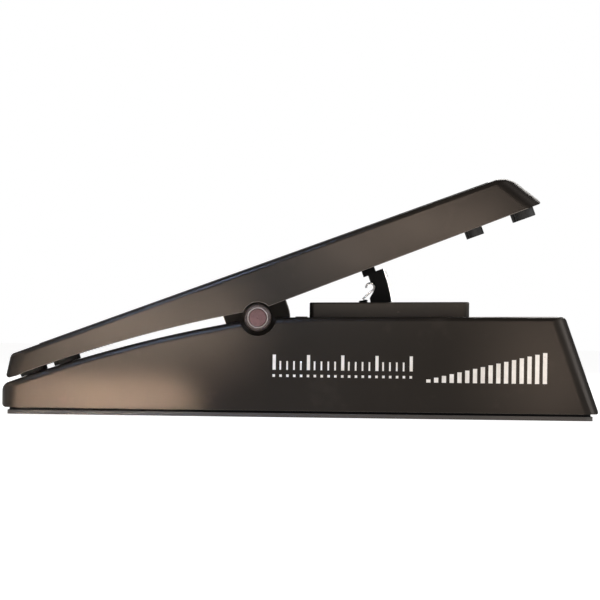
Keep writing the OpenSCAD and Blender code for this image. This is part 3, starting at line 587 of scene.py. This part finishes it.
# %% Lathe
def turned(profile, centre, steps=96):
    """A closed solid of revolution along Y from (radius, y) points."""
    bm = bmesh.new()
    points = [bm.verts.new(centre + Vector((radius, y, 0))) for radius, y in profile]
    rim = [bm.edges.new(pair) for pair in zip(points, points[1:])]
    if profile[0][0] > 0:
        rim.append(bm.edges.new((points[-1], points[0])))
    bmesh.ops.spin(bm, geom=points + rim, cent=centre, axis=(0, 1, 0), angle=2 * math.pi,
                   steps=steps, use_merge=True)
    bmesh.ops.remove_doubles(bm, verts=bm.verts, dist=1e-6)
    bmesh.ops.recalc_face_normals(bm, faces=bm.faces)
    return bm


turned_crease = 25
axle_centre = Vector((pivot.x, 0, pivot.z))

# %% Axle
axle_low, axle_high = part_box("pivot_axle")
axle_r = (axle_high.z - axle_low.z) / 2
axle_end = axle_high.y
mark_r, mark_deep, chamfer = 0.45 * MM, 0.35 * MM, 0.35 * MM
half_axle = [(0, axle_end - mark_deep), (mark_r, axle_end),
             (axle_r - chamfer, axle_end), (axle_r, axle_end - chamfer)]
axle_profile = half_axle + [(radius, -y) for radius, y in reversed(half_axle)]
axle_bm = turned(axle_profile, axle_centre)
shade(axle_bm, turned_crease)
axle = fit_out(settle(new_object("axle", axle_bm)), "pivot_axle", turned_steel)
print("axle faces", len(axle.data.polygons))

# %% Bushings
bush_low, bush_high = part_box("pivot_bushings")
bush_r = (bush_high.z - bush_low.z) / 2
bush_out = bush_high.y
bush_in = min(abs(v.co.y) for v in nodes["pivot_bushings"].data.vertices)
bore_r = axle_r + 0.05 * MM
knurl_deep, knurl_points = 0.16 * MM, 144
rim_chamfer, face_sink = 0.35 * MM, 0.12 * MM
lip_reach, lip_deep = 0.5 * MM, 0.3 * MM
bush_bm = bmesh.new()
for way in (-1, 1):
    ring = [(bore_r, bush_in), (bush_r, bush_in),
            (bush_r, bush_out - 0.5 * MM), (bush_r - rim_chamfer, bush_out),
            (bush_r - 1.0 * MM, bush_out - face_sink), (bore_r + 0.55 * MM, bush_out - face_sink),
            (bore_r + 0.42 * MM, bush_out), (bore_r + 0.12 * MM, bush_out),
            (bore_r, bush_out - 0.2 * MM)]
    one = turned([(radius, way * y) for radius, y in ring], axle_centre, knurl_points)
    rim = [v for v in one.verts
           if abs((v.co - pivot).xz.length - bush_r + rim_chamfer) < same_plane
           and abs(abs(v.co.y) - bush_out) < same_plane]
    for v in rim:
        angle = math.atan2(v.co.z - pivot.z, v.co.x - pivot.x)
        tooth = round(angle / (2 * math.pi) * knurl_points)
        if tooth % 2:
            v.co.y -= way * knurl_deep
    part = bpy.data.meshes.new("ring")
    one.to_mesh(part)
    one.free()
    bush_bm.from_mesh(part)
    bpy.data.meshes.remove(part)
for face in bush_bm.faces:
    place = face.calc_center_median()
    at_lip = (place - pivot).xz.length < bore_r + lip_reach
    face.material_index = 1 if at_lip and abs(place.y) > bush_out - lip_deep else 0
shade(bush_bm, turned_crease)
bushings = fit_out(settle(new_object("bushings", bush_bm)), "pivot_bushings", bearing_ring,
                   bright_rim)
print("bushing faces", len(bushings.data.polygons))

# %% [markdown]
# ## The slot cover
# The cover is a low cast lid over the slot that the arm dips into. Its rim is rounded by more than
# a millimetre while its screw recesses are crisp, so the two get different bevels: the rim is found
# as the edges that lie near the outline and join the top to a wall.

# %% Rim finder
rim_reach = 2.5 * MM


def near_outline(node, place):
    """Tells the places near the outer walls of a node."""
    low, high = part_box(node)
    return (place.x < low.x + rim_reach or place.x > high.x - rim_reach
            or abs(place.y) > high.y - rim_reach)


def on_rim(node, way):
    """Tells the edges that join a node's top (way 1) or underside (way -1) to its outer walls."""
    def found(edge):
        up = [f.normal.z * way for f in edge.link_faces]
        return max(up) > squarely and min(up) < 0.3 and near_outline(node, middle(edge))
    return found


# %% Slot cover
rim_round, recess_round = 1.1 * MM, 0.18 * MM
rim_steps, square_corner = 5, 60
cover_bm = joined_copy("slot_cover")
rim_count = soften(cover_bm, rim_round, rim_steps, square_corner, on_rim("slot_cover", 1))
edge_count = soften(cover_bm, recess_round, 1, square_corner)
shade(cover_bm)
fit_out(settle(new_object("cover", cover_bm)), "slot_cover", cover_paint)
print("cover rim", rim_count, "other edges", edge_count)

# %% [markdown]
# ## The tread mat
# The foot stands on a rubber mat with fine ribs along it, glued into a recess. The ribs could be a
# bump in the finish, but they show in outline from the ends, so they are made: a thin sheet with
# one low bar for each rib. The mat lies in the treadle's own level frame, which is found from the
# frame's mat: its largest flat is its top.

# %% Tread mat
mat_mesh = nodes["tread_mat"].data
mat_top = max((p for p in mat_mesh.polygons if p.normal.z > 0.5), key=lambda p: p.area)
tilt = math.atan2(mat_top.normal.x, mat_top.normal.z)
level = Matrix.Translation(pivot) @ Matrix.Rotation(tilt, 4, "Y")
flat = [level.inverted() @ v.co for v in mat_mesh.vertices]
mat_low = Vector([min(v[i] for v in flat) for i in range(3)])
mat_high = Vector([max(v[i] for v in flat) for i in range(3)])
rib_pitch, rib_width, rib_high = 2.6 * MM, 1.4 * MM, 0.45 * MM
rib_round = 0.25 * MM
mat_margin, mat_corner = 5 * MM, 7 * MM


def bar(bm, low, high, place=Matrix()):
    """A block between two corners, carried to its place."""
    size = Vector(high) - Vector(low)
    centre = Matrix.Translation((Vector(low) + Vector(high)) / 2)
    block = place @ centre @ Matrix.Diagonal((*size, 1))
    return bmesh.ops.create_cube(bm, size=1, matrix=block)["verts"]


mat_bm = bmesh.new()
bar(mat_bm, mat_low, (mat_high.x, mat_high.y, mat_high.z - rib_high))
uprights = [e for e in mat_bm.edges if abs(e.verts[0].co.z - e.verts[1].co.z) > 0.5 * MM]
bmesh.ops.bevel(mat_bm, geom=uprights, offset=mat_corner, offset_type="OFFSET", segments=6,
                profile=0.5, affect="EDGES", material=-1)
rib_count = int((mat_high.y - mat_low.y - 2 * mat_margin) / rib_pitch)
for i in range(rib_count + 1):
    y = mat_low.y + mat_margin + i * rib_pitch
    rib = bar(mat_bm, (mat_low.x + mat_margin, y, mat_high.z - 1.5 * rib_high),
              (mat_high.x - mat_margin, y + rib_width, mat_high.z))
    tops = [e for e in mat_bm.edges
            if e.verts[0] in rib and e.verts[1] in rib and middle(e).z > mat_high.z - 1e-6]
    bmesh.ops.bevel(mat_bm, geom=tops, offset=rib_round, offset_type="OFFSET", segments=2,
                    profile=0.5, affect="EDGES", material=-1)
bmesh.ops.transform(mat_bm, matrix=level, verts=mat_bm.verts)
shade(mat_bm)
mat = fit_out(settle(new_object("ribbed_mat", mat_bm)), "tread_mat", tread_rubber)
print("mat tilt", round(math.degrees(tilt), 2), "ribs", rib_count + 1, "faces",
      len(mat.data.polygons))

# %% [markdown]
# ## The tension spring
# A spring holds the drive band taut. It is a wire wound in a helix: a small circle is spun about
# the spring's axis while it moves along it. The frame has a plain cylinder of the coil's size, and
# its longest direction gives the axis.

# %% Tension spring
coil_points = [v.co for v in nodes["band_spring"].data.vertices]
coil_centre = sum(coil_points, Vector()) / len(coil_points)
spread_xx = sum((p.x - coil_centre.x) ** 2 for p in coil_points)
spread_zz = sum((p.z - coil_centre.z) ** 2 for p in coil_points)
spread_xz = sum((p.x - coil_centre.x) * (p.z - coil_centre.z) for p in coil_points)
lean = 0.5 * math.atan2(2 * spread_xz, spread_xx - spread_zz)
along = Vector((math.cos(lean), 0, math.sin(lean)))
reach = max((p - coil_centre).dot(along) for p in coil_points)
coil_r = max(abs(p.y) for p in coil_points)
wire_r = 0.38 * MM
wire_pitch = 2.25 * wire_r
turns = int(2 * reach / wire_pitch)
start = coil_centre - along * (reach - wire_r)
rise = (2 * reach - 2 * wire_r) / turns
spring_bm = bmesh.new()
out_way = Vector((0, 1, 0))
wire_way = along.cross(out_way).to_track_quat("Z", "Y").to_matrix().to_4x4()
facing = Matrix.Translation(start + out_way * (coil_r - wire_r)) @ wire_way
ring = bmesh.ops.create_circle(spring_bm, cap_ends=False, segments=8, radius=wire_r,
                               matrix=facing)["verts"]
steps_a_turn = 20
bmesh.ops.spin(spring_bm, geom=ring + spring_bm.edges[:], cent=start, axis=along,
               dvec=along * (rise / steps_a_turn), angle=2 * math.pi * turns,
               steps=steps_a_turn * turns, use_merge=False)
bmesh.ops.holes_fill(spring_bm, edges=[e for e in spring_bm.edges if e.is_boundary])
bmesh.ops.recalc_face_normals(spring_bm, faces=spring_bm.faces)
shade(spring_bm)
spring = fit_out(settle(new_object("spring_coil", spring_bm)), "band_spring", dark_wire)
print("spring turns", turns, "lean", round(math.degrees(lean)), "faces", len(spring.data.polygons))

# %% [markdown]
# ## Small parts
# The rest of the visible parts only need their edges softened and a finish. The base pad is cut
# from sheet rubber with a rounder lower edge, because it wears there.

# %% Softened parts
for node, width, material in (
    ("bottom_plate", 0.2, sheet_paint_and_shade), ("toe_bumpers", 0.35, black_rubber),
    ("mid_bumpers", 0.35, black_rubber), ("heel_bumpers", 0.35, black_rubber),
    ("sector_arm", 0.25, arm_plastic), ("jack_nuts", 0.2, nickel_plate),
    ("jack_plate", 0.2, brushed_panel), ("cover_screws", 0.2, black_steel),
    ("drum", 0.15, turned_brass), ("potentiometer", 0.3, zinc_steel),
):
    softened(node, width * MM, material)

pad_round = 1.9 * MM
softened("base_pad", pad_round, pad_rubber, rim_steps, square_corner, on_rim("base_pad", -1))

# %% Frame parts that keep their shape
for material, members in (
    (zinc_steel, ("base_screws", "plate_screws", "board_screws", "pot_bracket", "bracket_screws",
                  "bumper_screws", "arm_screws", "band_screw", "pot_shaft")),
    (black_steel, ("axle_set_screws", "tension_screw", "drum_set_screw")),
    (white_nylon, ("thrust_washers", "brake_shoe")),
    (jack_plastic, ("input_jack", "aux_jack", "output_jack")),
    (nickel_plate, ("jack_washers", "pot_washer", "pot_nut")),
    (band_steel, ("drive_band", "drum_band")),
    (solder_mask, ("circuit_board",)),
    (insulation, ("pot_wires",)),
    (bright_wire, ("spring_hook",)),
):
    for node in members:
        nodes[node].data.materials.clear()
        nodes[node].data.materials.append(material)
    print(material.name, len(members))

# %% [markdown]
# ## The printed scale
# The near side carries two pale prints. Here they are plain marks that any pedal could have: a
# scale of ticks over a row of dots, and bars that rise towards the toe as the sound does. Ink could
# be a colour in the finish, but it has crisp edges, so each mark is a thin block that stands on the
# paint.

# %% Prints
def printed(name, marks):
    """One print on the near side, from (x0, z0, x1, z1) blocks in millimetres."""
    bm = bmesh.new()
    for x0, z0, x1, z1 in marks:
        bar(bm, (x0 * MM, -side, z0 * MM), (x1 * MM, -side + 2 * ink_depth, z1 * MM))
    made = new_object(name, bm)
    made.data.materials.append(print_ink)
    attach(made, "base")
    print(name, len(marks), "marks")


# %% Scale
scale_from, scale_to, scale_foot, scale_top = -13.4, 53.5, 22.7, 29.9
tick_count, ticks_a_group = 20, 5
long_wide, short_wide, short_high = 1.5, 0.8, 4.2
dot_foot, dot_top, dot_wide = 19.3, 20.5, 1.2
tick_gap = (scale_to - scale_from - long_wide) / tick_count
ticks = []
for i in range(tick_count + 1):
    strong = i % ticks_a_group == 0
    x = scale_from + i * tick_gap
    wide, top = (long_wide, scale_top) if strong else (short_wide, scale_foot + short_high)
    ticks.append((x, scale_foot, x + wide, top))
    ticks.append((x, dot_foot, x + dot_wide, dot_top))
printed("scale_print", ticks)

# %% Level bars
bars_from, bars_to, bars_foot, bars_top = 60.0, 119.3, 17.5, 32.3
bar_count, bar_share, first_high = 16, 0.55, 1.5
bar_gap = (bars_to - bars_from) / bar_count
bars = []
for i in range(bar_count):
    top = bars_foot + first_high + (bars_top - bars_foot - first_high) * i / (bar_count - 1)
    bars.append((bars_from + i * bar_gap, bars_foot, bars_from + (i + bar_share) * bar_gap, top))
printed("level_print", bars)
